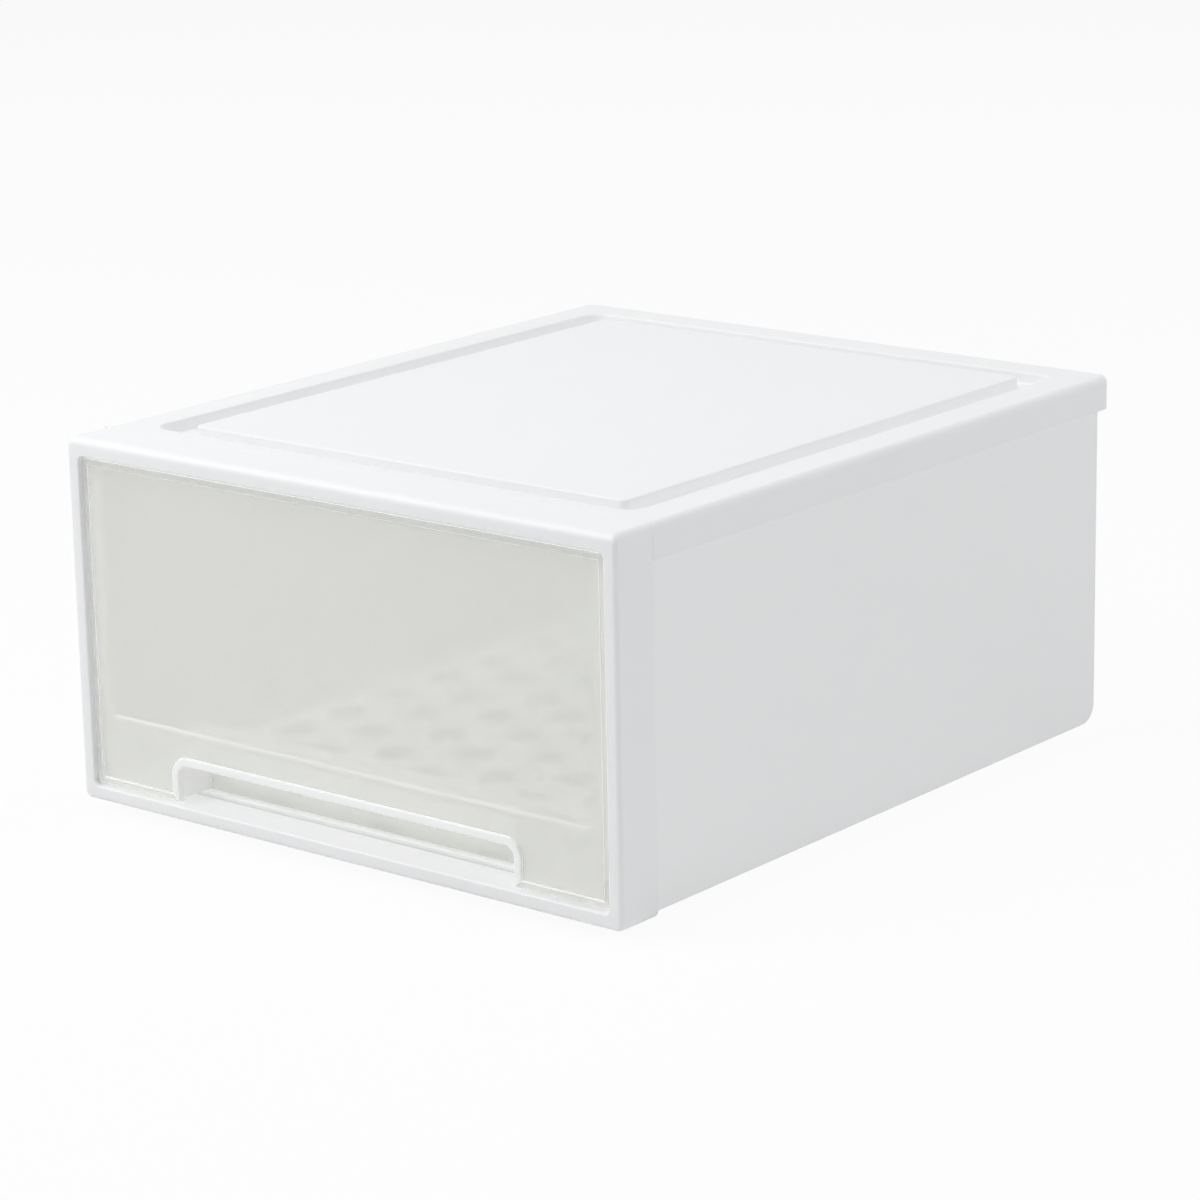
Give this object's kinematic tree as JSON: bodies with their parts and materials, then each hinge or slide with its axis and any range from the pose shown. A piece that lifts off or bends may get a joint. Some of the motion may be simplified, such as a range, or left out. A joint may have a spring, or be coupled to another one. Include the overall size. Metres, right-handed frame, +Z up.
{
  "type": "stackable drawer box",
  "caption": "Stackable plastic drawer box: white casing with a grooved top for stacking, and a hazy see-through drawer that slides out by a finger pocket at the bottom.",
  "frame": {"origin": "on the surface that the box stands on, below the middle of its outer box", "axes": "+X to the right seen from the front, +Y from the drawer front to the rear, +Z up; the drawer opens towards -Y"},
  "size_m": [0.34, 0.4, 0.1885],
  "materials": {
    "casing": "opaque white polypropylene, satin with a fine matt grain",
    "panel": "white polypropylene, slightly translucent, fine matt grain",
    "foot": "soft off-white plastic",
    "drawer": "hazy translucent natural polypropylene"
  },
  "bodies": {
    "casing": {"front_frame": "casing", "top_cover": "casing", "side_panel_left": "panel", "side_panel_right": "panel", "back_panel": "panel", "base_panel": "panel", "foot_front_left": "foot", "foot_front_right": "foot", "foot_rear_left": "foot", "foot_rear_right": "foot"},
    "drawer": {"drawer_tub": "drawer", "drawer_front": "drawer"}
  },
  "joints": [
    {"name": "drawer_slide", "type": "slide", "parent": "casing", "child": "drawer", "axis": [0, -1, 0], "range_m": [0, 0.3]}
  ]
}
